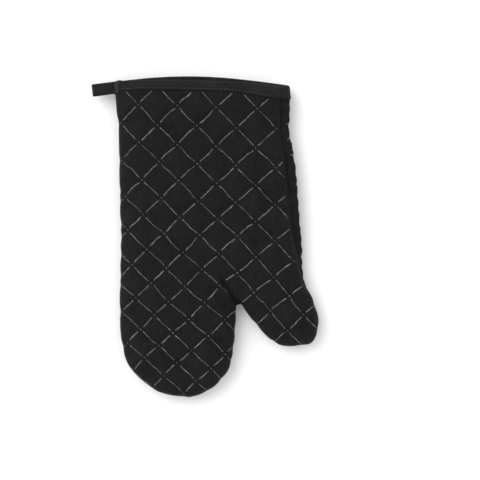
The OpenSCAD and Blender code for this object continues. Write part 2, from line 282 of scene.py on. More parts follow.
def printable(p, face):
    """Which of the flat cloth's points may carry print."""
    d, _, _ = nearest(p)
    _, gap, _ = along_crease(p)
    clear = (d > SEAM_MARGIN) & ((gap > CREASE_MARGIN) | (face < 0))
    below = p[:, 1] < cuff_y(p[:, 0]) - binding_width(p[:, 0], face) - BINDING_MARGIN
    return clear & inside(p, PANEL) & below


DASH_STEPS = 20


def lattice_lines(gaps, face):
    """Each printed dash as points on the flat cloth, with bare gaps at the crossings, one for each family.
    The second of each pair says whether it belongs to the family that rises to the right."""
    out = []
    t = np.linspace(0, 1, DASH_STEPS + 1)[:, None]
    for u, v in LATTICE:
        for way in (-0.5, 0.5):
            a, b = crossing(u, v), crossing(u + way, v + 0.5)
            d = unit(b - a) * gaps[way > 0]
            points = pulled((a + d) * (1 - t) + (b - d) * t)
            points = flat_under(points, face) if face > 0 else points
            kept = points[printable(points, face)]
            if len(kept) > DASH_STEPS / 5:
                out.append((kept, way < 0))
    return out


# -------- triangulated panels
def linked(name, data):
    """A new object in the scene."""
    obj = bpy.data.objects.new(name, data)
    bpy.context.scene.collection.objects.link(obj)
    return obj


def away_from(points, flat):
    """Distance from each flat point to the nearest of the points."""
    return np.array([np.min(np.hypot(*(points - q).T)) for q in flat])


def triangulate(gap, extra=None, clear=0.0):
    """The flat panel as points and triangles, about gap apart, with the thumb line as an edge."""
    seam, cuff = spaced(SEAM, gap), cuff_line(gap)
    rim = np.vstack([seam, cuff[1:-1]])
    line = spaced(np.array([CROTCH, B]), gap)[1:-1]
    lo, hi = rim.min(0), rim.max(0)
    rows = np.arange(lo[1], hi[1], gap * 0.866)
    columns = np.arange(lo[0], hi[0], gap)
    grid = np.array([(x + (k % 2) * gap / 2, y) for k, y in enumerate(rows) for x in columns])
    grid = grid[inside(grid, rim)]
    edge = np.vstack([rim, line] + ([extra] if extra is not None else []))
    grid = grid[away_from(edge, grid) > max(0.62 * gap, clear)]
    points = np.vstack([edge, grid])
    loop = [(i, (i + 1) % len(rim)) for i in range(len(rim))]
    first = len(rim)
    cut = [(first + i, first + i + 1) for i in range(len(line) - 1)]
    verts, _, faces, *_ = delaunay_2d_cdt([Vector(p) for p in points], loop + cut, [], 0, 1e-5)
    verts = np.array([tuple(v) for v in verts])
    faces = np.array([f for f in faces if len(f) == 3])
    faces = faces[inside(verts[faces].mean(1), rim)]
    a, b, c = (verts[faces[:, k]] for k in range(3))
    faces = np.where(turn(b - a, c - a)[:, None] < 0, faces[:, ::-1], faces)
    used, index = np.unique(faces, return_inverse=True)
    return verts[used], index.reshape(-1, 3)


def corner_normals(co, faces):
    """The unit normal at each point of a mesh."""
    n = np.cross(co[faces[:, 1]] - co[faces[:, 0]], co[faces[:, 2]] - co[faces[:, 0]])
    out = np.zeros_like(co)
    for k in range(3):
        np.add.at(out, faces[:, k], n)
    return out / np.maximum(np.linalg.norm(out, axis=1), 1e-12)[:, None]


def edges_of(faces):
    """The directed edges of all the triangles."""
    return np.vstack([faces[:, [0, 1]], faces[:, [1, 2]], faces[:, [2, 0]]])


def border(faces):
    """The directed edges that only one triangle has."""
    edges = edges_of(faces)
    seen = {tuple(e) for e in edges}
    return np.array([e for e in edges if (e[1], e[0]) not in seen])


def relaxed(values, faces, fixed, rounds):
    """The points' values, each drawn towards its neighbours' mean unless it is fixed."""
    edges = edges_of(faces)
    count = np.zeros(len(values))
    np.add.at(count, edges[:, 0], 1)
    for _ in range(rounds):
        total = np.zeros_like(values)
        np.add.at(total, edges[:, 0], values[edges[:, 1]])
        blended = 0.5 * values + 0.5 * total / np.maximum(count, 1)[:, None]
        values = np.where(fixed[:, None], values, blended)
    return values


class Sampler:
    """Reads values given at a flat mesh's points anywhere on the panel."""

    def __init__(self, points, faces):
        self.points, self.faces = points, faces
        flat = [Vector((x, y, 0)) for x, y in points]
        self.tree = BVHTree.FromPolygons(flat, [tuple(map(int, f)) for f in faces])

    def weights(self, p):
        """The triangle under each point, and the share of each of its corners."""
        hits = [self.tree.find_nearest(Vector((x, y, 0))) for x, y in p]
        face = self.faces[[h[2] for h in hits]]
        q = np.array([tuple(h[0])[:2] for h in hits])
        a, b, c = (self.points[face[:, k]] for k in range(3))
        area = turn(b - a, c - a)
        w0, w1 = turn(b - q, c - q) / area, turn(c - q, a - q) / area
        return face, np.column_stack([w0, w1, 1 - w0 - w1])

    def read(self, values, p):
        """The values at points anywhere on the panel."""
        face, w = self.weights(p)
        return (values[face] * w[..., None]).sum(1)


# -------- cloth simulation of the padding
SIM_GAP = 4.6
SIM_FRAMES = 20
SIM_PRESSURE = 4.0
# The simulated panels are built at ten times their real size, where the cloth solver works best.
SIM_SCALE = 0.01
# The furthest that a point may move, in millimetres.
SIM_CAP = 3.2


def wound(faces, face):
    """The triangles of a panel with their outer side out."""
    return faces if face > 0 else faces[:, ::-1]


def rim_mask(flat, faces):
    """Which of the flat mesh's points lie on its edge."""
    mask = np.zeros(len(flat), bool)
    mask[np.unique(border(faces))] = True
    return mask


def simulated_puff():
    """Inflates the two panels, held along the printed lines, the side seam and the mouth.
    Returns a sampler of the flat proxy mesh, and how far each of its points moved, front and back."""
    held = np.vstack([spaced(line, SIM_GAP) for line, _ in lattice_lines((0, 0), FRONT)])
    flat, faces = triangulate(SIM_GAP, held, SIM_GAP * 0.55)
    rest = {f: padded_surface(flat, f) for f in (FRONT, BACK)}
    on_rim = rim_mask(flat, faces)
    free = np.where(~on_rim)[0]
    back_index = np.arange(len(flat))
    back_index[free] = len(flat) + np.arange(len(free))
    co = np.vstack([rest[FRONT], rest[BACK][free]])
    both = np.vstack([faces, back_index[faces][:, ::-1]])
    mesh = bpy.data.meshes.new("proxy")
    mesh.from_pydata((co * SIM_SCALE).tolist(), [], both.tolist())
    proxy = linked("proxy", mesh)
    pinned = np.where((away_from(held, flat) < 0.3) | on_rim)[0]
    group = proxy.vertex_groups.new(name="held")
    group.add([int(i) for i in set(pinned) | set(back_index[pinned])], 1.0, "REPLACE")
    set_cloth(proxy)
    scene = bpy.context.scene
    for step in range(1, SIM_FRAMES + 1):
        scene.frame_set(step)
    done = proxy.evaluated_get(bpy.context.evaluated_depsgraph_get()).to_mesh()
    moved = np.array([tuple(v.co) for v in done.vertices]) / SIM_SCALE - co
    scene.frame_set(1)
    bpy.data.objects.remove(proxy)
    size = np.linalg.norm(moved, axis=1)
    moved *= np.minimum(1, SIM_CAP / np.maximum(size, 1e-9))[:, None]
    return Sampler(flat, faces), {FRONT: moved[: len(flat)], BACK: moved[back_index]}


def set_cloth(proxy):
    """Adds the cloth settings: firm cotton, blown up from inside, held at the pinned points."""
    cloth = proxy.modifiers.new("puff", "CLOTH").settings
    cloth.use_pressure = True
    cloth.uniform_pressure_force = SIM_PRESSURE
    cloth.effector_weights.gravity = 0.0
    cloth.vertex_group_mass = "held"
    cloth.quality = 6
    cloth.mass = 0.4
    cloth.tension_stiffness = 18
    cloth.compression_stiffness = 12
    cloth.bending_stiffness = 0.6
    cloth.shrink_min = -0.035


# -------- wrinkles, creases and the seam's puckers
# Folds pressed into the front: one end, the other end, depth and half-width.
FOLDS = [((50, 44), (77, 40), 1.5, 1.6), ((46, 35), (74, 33), 1.2, 1.5), ((4, -53), (27, -60), 1.5, 1.5),
         ((2, -46), (20, -52), 1.2, 1.4), ((38, -8), (70, -2), 1.0, 2.0), ((58, 100), (72, 90), 1.1, 1.6),
         ((12, 62), (34, 74), 1.0, 1.7), ((26, 56), (52, 52), 1.1, 1.6)]


def folded(p):
    """Depth of the pressed folds, each deepest at its middle and raised beside."""
    total = np.zeros(len(p))
    for a, b, depth, half in FOLDS:
        a, b = np.array(a, float), np.array(b, float)
        t = (p - a) @ (b - a) / ((b - a) @ (b - a))
        away = np.abs(turn(unit(b - a), p - a) + 1.2 * np.sin(3.5 * t))
        reach = smooth(t / 0.3) * smooth((1 - t) / 0.3)
        beside = np.exp(-(((away - 2.6 * half) / half) ** 2))
        total += depth * reach * (np.exp(-((away / half) ** 2)) - 0.6 * beside)
    return total


def creased(p, d):
    """The crotch crease with its raised lip, and the pressed folds. They are on the front only."""
    t, gap, side = along_crease(p)
    depth = 6.0 * (1 - t) ** 0.5 + 1.6 * t
    crease = -depth * np.exp(-((gap / 2.1) ** 2)) * (1 - smooth((t - 0.8) / 0.2) * 0.6)
    lip = 1.7 * np.exp(-(((gap - 4.5) / 3) ** 2)) * (1 - 0.5 * t) * (0.6 + 0.4 * side)
    return (crease - folded(p) + lip) * smooth(d / 1.2 + 0.25)


def crotch_folds(p):
    """Low folds that fan out from the crotch."""
    radial = np.linalg.norm(p - CROTCH, axis=1)
    angle = np.arctan2(p[:, 1] - CROTCH[1], p[:, 0] - CROTCH[0])
    return 0.55 * np.sin(angle * 7 + 2.5 * wave(p, 30, 4.4)) * np.exp(-(((radial - 24) / 16) ** 2))


def surface_detail(p, face):
    """Height added along the normal, in millimetres: slack cloth, the crotch crease, pucker at the seam."""
    d, n, run = nearest(p)
    pucker = 0.5 * np.sin(run * 2 * math.pi / 11 + 3 * wave(p, 26, 1.7)) * np.exp(-d / 7) * smooth(d / 1.5)
    slack = 0.75 * wave(p, 31, 5.1 + face) + 0.5 * wave(p, 13, 9.3 + face) + 0.24 * wave(p, 5.5, 2.2 + face)
    edge = smooth(d / 6)
    cuff = smooth((cuff_y(p[:, 0]) - p[:, 1]) / 14)
    height, middle, half = (1.7, 3.4, 2.3) if face < 0 else (0.7, 4, 3)
    hump = rolled(p, n) * (height * np.exp(-(((d - middle) / half) ** 2)))
    return (creased(p, d) * (face > 0) + (pucker + hump) * cuff
            + (slack + crotch_folds(p)) * edge * cuff)


# Height of the lowest cloth, which leaves room for the print under it.
UNDERSIDE = 0.6
# The groove that holds the printed lines, and the notch where one draws in the seam: depth and half-width.
GROOVE = (0.6, 1.5)
NOTCH = (0.9, 4.5)


def grooves(flat):
    """Depth of the grooves under the printed lines of both panels. The two agree at the side seam."""
    depth = {}
    d, n, _ = nearest(flat)
    sewn = np.exp(-((d / 2.5) ** 2))
    for face in (FRONT, BACK):
        lines = np.vstack([spaced(line, 1.0) for line, _ in lattice_lines((0, 0), face)])
        away = away_from(lines, flat)
        if face == FRONT:
            notch = NOTCH[0] * np.exp(-((away / NOTCH[1]) ** 2)) * (1 - rolled(flat, n))
        depth[face] = GROOVE[0] * np.exp(-((away / GROOVE[1]) ** 2)) * (1 - sewn) + notch * sewn
    return depth


def finished_surfaces(flat, faces, proxy, moved):
    """The outer surfaces of both panels over the points of one flat mesh, as points and normals."""
    rim = rim_mask(flat, faces)
    d, n, _ = nearest(flat)
    sewn = rim & (d < 1)
    valley = (0.2 + 1.9 * rolled(flat, n)) * np.exp(-((d / 1.6) ** 2))
    co, normal = {}, {}
    for face in (FRONT, BACK):
        shift = proxy.read(moved[face], flat)
        shift[rim] = 0
        co[face] = padded_surface(flat, face) + relaxed(shift, faces, rim, 6)
        normal[face] = corner_normals(co[face], wound(faces, face))
    groove = grooves(flat)
    shared = normal[FRONT] + normal[BACK]
    shared /= np.maximum(np.linalg.norm(shared, axis=1), 1e-9)[:, None]
    for face in (FRONT, BACK):
        way = np.where(sewn[:, None], shared, normal[face])
        co[face] = co[face] + way * (surface_detail(flat, face) - valley - groove[face])[:, None]
        co[face][:, 2] = np.maximum(co[face][:, 2], UNDERSIDE)
        normal[face] = corner_normals(co[face], wound(faces, face))
    return {face: (co[face], normal[face]) for face in (FRONT, BACK)}


# -------- meshes
def make_object(name, co, faces, material, rest):
    """A smooth-shaded piece, pressed flat where it would pass below the surface it lies on.
    Its points keep their places on the flat cloth, for the materials."""
    mesh = bpy.data.meshes.new(name)
    above = np.column_stack([co[:, :2], np.maximum(co[:, 2], 0)]) * MM
    mesh.from_pydata(above.tolist(), [], [tuple(map(int, f)) for f in faces])
    mesh.validate()
    mesh.polygons.foreach_set("use_smooth", [True] * len(mesh.polygons))
    cloth = mesh.attributes.new("cloth", "FLOAT_VECTOR", "POINT")
    places = np.column_stack([rest, np.zeros(len(rest))]).astype(np.float32)
    cloth.data.foreach_set("vector", places.ravel())
    mesh.materials.append(material)
    return linked(name, mesh)


def layered(co, normal, flat, faces, outer, inner, face):
    """A closed layer between two depths under the panel's surface."""
    skin = wound(faces, face)
    top, under = co - normal * outer, co - normal * inner
    n = len(co)
    rim = border(skin)
    walls = np.vstack([np.column_stack([rim[:, 1], rim[:, 0], rim[:, 0] + n]),
                       np.column_stack([rim[:, 1], rim[:, 0] + n, rim[:, 1] + n])])
    return np.vstack([top, under]), np.vstack([skin, skin[:, ::-1] + n, walls]), np.vstack([flat, flat])


def trimmed(flat, faces):
    """The mesh of the inner layers, which stop short of the side seam, the crotch and the cuff edge."""
    middle = flat[faces].mean(1)
    d, _, _ = nearest(middle)
    clear = (d > SEAM_ALLOWANCE) & (np.linalg.norm(middle - CROTCH, axis=1) > 3 * SEAM_ALLOWANCE)
    clear &= middle[:, 1] < cuff_y(middle[:, 0]) - SEAM_ALLOWANCE / 2
    used, index = np.unique(faces[clear], return_inverse=True)
    return flat[used], index.reshape(-1, 3)


def past_thumb(p):
    """Which of the points are on the thumb's side of its line."""
    return ((p - C2) @ THUMB_OUT > 0) & (p[..., 0] > CROTCH[0])


def part_of(flat, faces, thumb):
    """The triangles and points of the thumb's piece, or of the rest of the panel."""
    chosen = faces[past_thumb(flat[faces].mean(1)) == thumb]
    used, index = np.unique(chosen, return_inverse=True)
    return used, index.reshape(-1, 3)


def bend(piece, thumb):
    """Bakes the piece's placement into its mesh."""
    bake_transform(piece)


# -------- materials
class Nodes:
    """Short calls for a procedural material."""

    def __init__(self, name, colour, roughness):
        self.material = bpy.data.materials.new(name)
        self.material.use_nodes = True
        self.tree = self.material.node_tree
        self.shader = self.tree.nodes["Principled BSDF"]
        self.shader.inputs["Base Color"].default_value = (*colour, 1)
        self.shader.inputs["Roughness"].default_value = roughness
        self.material.diffuse_color = (*colour, 1)

    def add(self, kind, **inputs):
        """A node with its inputs set or linked, by name or as i0, i1 and so on."""
        node = self.tree.nodes.new(kind)
        for key, value in inputs.items():
            numbered = key[0] == "i" and key[1:].isdigit()
            socket = node.inputs[int(key[1:]) if numbered else key]
            if isinstance(value, bpy.types.NodeSocket):
                self.tree.links.new(value, socket)
            else:
                socket.default_value = value
        return node

    def math(self, operation, a, b):
        """One sum or product."""
        node = self.add("ShaderNodeMath", i0=a, i1=b)
        node.operation = operation
        return node.outputs[0]

    def weighted(self, *parts):
        """The sum of some values, each given with its weight."""
        products = [self.math("MULTIPLY", value, weight) for value, weight in parts]
        total = products[0]
        for product in products[1:]:
            total = self.math("ADD", total, product)
        return total

    def cloth(self):
        """Coordinates on the flat cloth, in millimetres."""
        place = self.tree.nodes.new("ShaderNodeAttribute")
        place.attribute_name = "cloth"
        return place.outputs["Vector"]

    def noise(self, where, scale, detail):
        """Noise with its largest features 1 / scale millimetres across."""
        return self.add("ShaderNodeTexNoise", Vector=where, Scale=scale, Detail=detail).outputs["Fac"]

    def wave(self, where, scale, direction, distortion):
        """Soft parallel bands."""
        node = self.add("ShaderNodeTexWave", Vector=where, Scale=scale, Distortion=distortion)
        node.bands_direction = direction
        return node.outputs["Fac"]

    def ramp(self, fac, *stops):
        """A colour for each value, through stops of a position and a colour."""
        node = self.add("ShaderNodeValToRGB", Fac=fac)
        ramp = node.color_ramp
        ramp.elements[0].position, ramp.elements[0].color = stops[0][0], (*stops[0][1], 1)
        ramp.elements[1].position, ramp.elements[1].color = stops[-1][0], (*stops[-1][1], 1)
        for position, colour in stops[1:-1]:
            ramp.elements.new(position).color = (*colour, 1)
        return node.outputs["Color"]

    def bump(self, height, distance, strength=1.0, below=None):
        """A normal for relief that is distance metres high, on top of another normal if one is given."""
        node = self.add("ShaderNodeBump", Height=height, Distance=distance, Strength=strength)
        if below is not None:
            self.tree.links.new(below, node.inputs["Normal"])
        return node.outputs["Normal"]

    def to(self, socket, value):
        """Links a value to the shader."""
        self.tree.links.new(value, self.shader.inputs[socket])


TWILL_ANGLE = 63
# The length of a wave texture's band at scale 1.
BAND = 0.314
CLOTH_ROUGHNESS = 0.85


def woven(name, dark, light, thread_mm, sheen, twill=True, bump=0.05):
    """Cotton or tape, in a twill or a plain weave of the given thread pitch, with lint and slow shading."""
    m = Nodes(name, light, CLOTH_ROUGHNESS)
    where = m.cloth()
    turned = m.add("ShaderNodeMapping", Vector=where)
    turned.inputs["Rotation"].default_value = (0, 0, math.radians(TWILL_ANGLE if twill else 0))
    ribs = m.wave(turned.outputs[0], BAND / thread_mm, "X", 0.6)
    across = m.wave(where, BAND / thread_mm * 0.9, "Y", 0.4)
    woven_height = m.weighted((ribs, 0.65), (across, 0.35))
    lint = m.noise(where, 1.9, 8.0)
    slow = m.noise(where, 0.05, 5.0)
    drawn = m.add("ShaderNodeMapping", Vector=where)
    drawn.inputs["Scale"].default_value = (1.0, 0.12, 1.0)
    slubs = m.noise(drawn.outputs[0], 0.8, 5.0)
    tone = m.weighted((woven_height, 0.2), (lint, 0.45), (slow, 0.15), (slubs, 0.2))
    m.to("Base Color", m.ramp(tone, (0.37, dark), (0.64, light)))
    m.to("Roughness", m.math("ADD", m.math("MULTIPLY", lint, 0.16), CLOTH_ROUGHNESS - 0.08))
    first = m.bump(woven_height, bump * MM * 2.2)
    m.to("Normal", m.bump(m.noise(where, 0.45, 6.0), 0.3 * MM, 0.9, first))
    m.shader.inputs["Sheen Weight"].default_value = sheen
    m.shader.inputs["Sheen Roughness"].default_value = 0.5
    m.shader.inputs["Specular IOR Level"].default_value = 0.1
    return m.material


def silicone_material():
    """Dark grey rubber, lighter and darker along the lines: partly wear, partly painted glints in place of
    the beads' varying highlights.
    """
    m = Nodes("silicone_print", (0.085, 0.085, 0.09), 0.3)
    where = m.cloth()
    wear_and_glint = m.noise(where, 0.2, 5.0)
    slow = m.noise(where, 0.07, 2.0)
    fine = m.noise(where, 2.6, 6.0)
    tone = m.weighted((wear_and_glint, 0.55), (slow, 0.3), (fine, 0.15))
    # The light end of this ramp is painted highlight: glints that vary from dash to dash, put into the base
    # colour on top of real wear.
    m.to("Base Color", m.ramp(tone, (0.38, (0.016, 0.016, 0.017)), (0.5, (0.07, 0.07, 0.072)),
                              (0.64, (0.19, 0.19, 0.195))))
    m.to("Roughness", m.math("ADD", m.math("MULTIPLY", fine, 0.25), 0.22))
    m.to("Normal", m.bump(fine, 0.12 * MM, 0.6))
    m.shader.inputs["Specular IOR Level"].default_value = 0.5
    return m.material


def thread_material():
    """Black twisted thread."""
    m = Nodes("sewing_thread", (0.02, 0.02, 0.021), 0.75)
    twist = m.wave(m.cloth(), 1.4, "DIAGONAL", 1.0)
    m.to("Base Color", m.ramp(twist, (0.2, (0.008, 0.008, 0.0085)), (0.9, (0.026, 0.026, 0.028))))
    m.to("Normal", m.bump(twist, 0.08 * MM, 0.7))
    m.shader.inputs["Sheen Weight"].default_value = 0.2
    return m.material


def batting_material():
    """Off-white polyester fibres."""
    m = Nodes("wadding", (0.8, 0.79, 0.75), 0.95)
    fibres = m.noise(m.cloth(), 0.8, 9.0)
    m.to("Base Color", m.ramp(fibres, (0.3, (0.66, 0.65, 0.61)), (0.75, (0.86, 0.85, 0.82))))
    m.to("Normal", m.bump(fibres, 0.5 * MM, 0.9))
    return m.material


SHELL = woven("shell_cotton", (0.0004, 0.0004, 0.0005), (0.0178, 0.0178, 0.0186), 0.55, 0.015)
LINING = woven("lining_cotton", (0.002, 0.002, 0.0022), (0.008, 0.008, 0.009), 0.45, 0.02, twill=False)
TAPE = woven("binding_tape", (0.0015, 0.0015, 0.0017), (0.026, 0.026, 0.0275), 0.8, 0.03, bump=0.09)
LOOP_TAPE = woven("loop_tape", (0.004, 0.004, 0.0042), (0.024, 0.024, 0.0245), 0.9, 0.03, False, 0.1)
SILICONE = silicone_material()
THREAD = thread_material()
BATTING = batting_material()

# -------- camera, light and floor
# Metres, as everything on the stage is.
VIEW_CENTRE = (0.0325, -0.0033)
VIEW_WIDTH = 0.456
CAMERA_HEIGHT = 1.7
SENSOR = 36
FLOOR_REACH = 12.0
FLOOR_DROP = 0.0002
FLOOR_COLOUR = (0.93, 0.93, 0.93, 1)
SUN_WAY = (0.75, -0.6, -1)
SUN_SPREAD = math.radians(50)
SUN_STRENGTH = 1.5


def make_camera():
    """The camera looks straight down, from far enough away for little perspective."""
    camera = linked("camera", bpy.data.cameras.new("camera"))
    camera.location = (*VIEW_CENTRE, CAMERA_HEIGHT + SEAM_Z * MM)
    camera.data.sensor_width = SENSOR
    camera.data.lens = SENSOR * CAMERA_HEIGHT / VIEW_WIDTH
    camera.data.clip_end = 20
    bpy.context.scene.camera = camera


def make_floor():
    """A pale floor just below the mitt."""
    mesh = bpy.data.meshes.new("floor")
    corners = [(x * FLOOR_REACH, y * FLOOR_REACH, 0) for x, y in ((-1, -1), (1, -1), (1, 1), (-1, 1))]
    mesh.from_pydata(corners, [], [(0, 1, 2, 3)])
    floor = linked("floor", mesh)
    floor.location.z = -FLOOR_DROP
    paint = bpy.data.materials.new("floor_paint")
    paint.use_nodes = True
    shader = paint.node_tree.nodes["Principled BSDF"]
    shader.inputs["Base Color"].default_value = FLOOR_COLOUR
    shader.inputs["Roughness"].default_value = 0.9
    shader.inputs["Specular IOR Level"].default_value = 0.1
    mesh.materials.append(paint)


def make_light():
    """A broad sun from the upper left, and a white world."""
    sun = bpy.data.lights.new("key_light", "SUN")
    sun.angle = SUN_SPREAD
    sun.energy = SUN_STRENGTH
    linked("key_light", sun).rotation_euler = Vector(SUN_WAY).to_track_quat("-Z", "Y").to_euler()
    world = bpy.data.worlds.new("studio")
    world.use_nodes = True
    sky = world.node_tree.nodes["Background"]
    sky.inputs["Color"].default_value = (1, 1, 1, 1)
    sky.inputs["Strength"].default_value = 1.0
    bpy.context.scene.world = world
    bpy.context.scene.view_settings.view_transform = "Standard"


make_camera()
make_floor()
make_light()

# -------- shells, wadding and linings
# Point spacing of the shell's mesh and of the inner layers'.
SHELL_GAP = 1.5
INNER_GAP = 4.0
SEAM_ALLOWANCE = 3.0
FINE = triangulate(SHELL_GAP)
COARSE = trimmed(*triangulate(INNER_GAP))
SURFACE = finished_surfaces(*FINE, *simulated_puff())
FINE_SAMPLER = Sampler(*FINE)
CALM = {f: corner_normals(padded_surface(FINE[0], f), wound(FINE[1], f)) for f in (FRONT, BACK)}


def on_surface(p, face, normals=None):
    """Points of the finished outer surface over flat points, with its normals or the calm padded body's."""
    co, own = SURFACE[face]
    n = FINE_SAMPLER.read(own if normals is None else normals[face], p)
    return FINE_SAMPLER.read(co, p), n / np.linalg.norm(n, axis=1)[:, None]


def under_shell(face):
    """The surface that the inner layers follow: the shell's, cleared below the crotch crease."""
    flat, _ = COARSE
    co, normal = on_surface(flat, face, CALM)
    _, gap, _ = along_crease(flat)
    clear = 2.5 * np.exp(-((gap / 8) ** 2)) * (face > 0)
    return co - normal * clear[:, None], normal


INNER = {f: under_shell(f) for f in (FRONT, BACK)}


def side_name(face):
    """The panel's name."""
    return "front" if face > 0 else "back"


def part_name(thumb):
    """The name of one of the two pieces that each panel is made in."""
    return "thumb" if thumb else "body"


def zones(thumb):
    """The zones of the CAD that a piece covers."""
    return ["thumb"] if thumb else ["hand", "fingers"]


def zone_nodes(layer, face, thumb):
    """The CAD nodes that a piece of a layer takes the place of."""
    return [f"{side_name(face)}_{layer}_{z}" for z in zones(thumb)]


def build_layer(layer, face, thumb, depths, material):
    """One piece of one layer of a panel, made in place of the CAD's pieces, which are hidden."""
    flat, faces = FINE if layer == "shell" else COARSE
    co, normal = SURFACE[face] if layer == "shell" else INNER[face]
    used, index = part_of(flat, faces, thumb)
    layer_co, layer_faces, rest = layered(co[used], normal[used], flat[used], index, *depths, face)
    name = f"{side_name(face)}_{layer}_cloth_{part_name(thumb)}"
    piece = make_object(name, layer_co, layer_faces, material, rest)
    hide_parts(*zone_nodes(layer, face, thumb))
    bend(piece, thumb)
    return piece


for face in (FRONT, BACK):
    for thumb in (False, True):
        build_layer("shell", face, thumb, SHELL_DEPTHS, SHELL)
        build_layer("wadding", face, thumb, WADDING_DEPTHS, BATTING)
        lining = build_layer("lining", face, thumb, LINING_DEPTHS, LINING)


# -------- silicone print
# The beads of the lines that rise and fall to the right. The gap is the one left at each crossing.
RISING = dict(width=1.25, height=0.6, gap=2.9)
FALLING = dict(width=0.85, height=0.38, gap=2.7)
DOT_WIDTH, DOT_LENGTH, DOT_HEIGHT = 1.2, 2.0, 0.32
DOT_WAY = np.array([0.6, -0.8])
# Points round a bead, how unevenly wide it is, and how deep its middle sits in the cloth.
RING = 8
UNEVEN = 0.35
BEAD_SUNK = 0.06


def swept(count, steps):
    """The faces of a rod: rings of the given count of points, joined by steps and closed at both ends."""
    faces = []
    for low in range(0, count * steps, count):
        high = low + count
        faces += [(low + k, low + (k + 1) % count, high + (k + 1) % count, high + k) for k in range(count)]
    return faces + [tuple(range(count))[::-1], tuple(range(count * steps, count * (steps + 1)))]


def bead(flat, face, width, height):
    """A raised bead along points of the flat cloth, rounded in section and at both ends."""
    flat = spaced(flat, 1.0)
    steps = len(flat) - 1
    co, normal = on_surface(flat, face)
    tangent = np.gradient(co, axis=0)
    side = np.cross(normal, tangent)
    side /= np.linalg.norm(side, axis=1)[:, None]
    run = np.linspace(0, 1, steps + 1) * np.linalg.norm(np.diff(flat, axis=0), axis=1).sum()
    end = np.minimum(run, run[-1] - run) / (width / 2)
    size = np.sqrt(1 - (1 - np.clip(end, 0.02, 1)) ** 2)
    size = size * (1 + UNEVEN * wave(flat, 2.1, 3.3))
    sway = 0.5 * wave(flat, 6, 8.8) + 0.2 * wave(flat, 2.2, 6.1)
    points, rest = [], []
    for k in range(RING):
        a = 2 * math.pi * k / RING
        out = np.cos(a) * width / 2 * size + sway
        up = np.sin(a) * height * size - BEAD_SUNK
        points.append(co + side * out[:, None] + normal * up[:, None])
        rest.append(flat + np.array([0, 1]) * out[:, None])
    points, rest = (np.stack(v, axis=1).reshape(-1, v[0].shape[1]) for v in (points, rest))
    faces = swept(RING, steps)
    return points, faces if face > 0 else [f[::-1] for f in faces], rest


def dot(centre, face):
    """A small low oval at a crossing."""
    along = np.linspace(-0.5, 0.5, 7)[:, None] * DOT_WAY * DOT_LENGTH
    return bead(centre + along, face, DOT_WIDTH, DOT_HEIGHT)


def joined(name, parts, material):
    """One piece from many parts, each given as points, faces and places on the flat cloth."""
    points, faces, rest, start = [], [], [], 0
    for p, f, r in parts:
        points.append(p)
        rest.append(r)
        faces += [tuple(i + start for i in face) for face in f]
        start += len(p)
    return make_object(name, np.vstack(points), faces, material, np.vstack(rest))


def print_parts(face, thumb):
    """The beads and dots on one piece of a panel."""
    parts = []
    for line, rising in lattice_lines((RISING["gap"], FALLING["gap"]), face):
        if (past_thumb(line[0]) or past_thumb(line[-1])) == thumb and len(line) > 4:
            kind = RISING if rising else FALLING
            parts.append(bead(line, face, kind["width"], kind["height"]))
    for u, v in LATTICE:
        p = pulled(crossing(u, v)[None])
        p = flat_under(p, face) if face > 0 else p
        if printable(p, face)[0] and past_thumb(p[0]) == thumb:
            parts.append(dot(p[0], face))
    return parts


for face in (FRONT, BACK):
    for thumb in (False, True):
        name = f"{side_name(face)}_print_{part_name(thumb)}"
        print_piece = joined(name, print_parts(face, thumb), SILICONE)
        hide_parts(*zone_nodes("silicone_print", face, thumb))
        bend(print_piece, thumb)

# -------- cuff binding
TAPE_STATIONS = 110
# The tape's section, as shares of the binding's width below the cuff edge, with lifts above the shell.
# Its outer side goes over the edge and into the mouth, and its inner side lies against the layers.
TAPE_OUTER = [(1, 0.1), (1, 0.75), (0.85, 0.95), (0.5, 1.0), (0.12, 0.95), (-0.06, 0.6), (-0.12, -0.6),
              (-0.13, -2.9), (-0.12, -5.4), (-0.06, -6.7), (0.12, -7.0), (0.6, -7.0), (1, -6.9)]
TAPE_INNER = [(1, -6.2), (0.5, -6.15), (0.01, -6.1), (0.0, 0.05), (0.5, 0.1)]
# How far apart the section's points lie on the flat tape.
TAPE_STEP = 1.1


def mouth_ring(share, count, face):
    """Flat points across one panel, at a share of the binding's width below the edge, and their depths."""
    s = (1 - np.cos(np.linspace(0, math.pi, count))) / 2
    left, right = curve(SIDE_LEFT), curve(SIDE_RIGHT)
    x = left[0, 0] + (right[0, 0] - left[0, 0]) * s
    depth = share * binding_width(x, face) * np.ones(count)
    for _ in range(3):
        y = cuff_y(x) - np.maximum(depth, 0)
        x0, x1 = np.interp(-y, -left[:, 1], left[:, 0]), np.interp(-y, -right[:, 1], right[:, 0])
        x = x0 + (x1 - x0) * s
    return np.column_stack([x, cuff_y(x) - np.maximum(depth, 0)]), depth


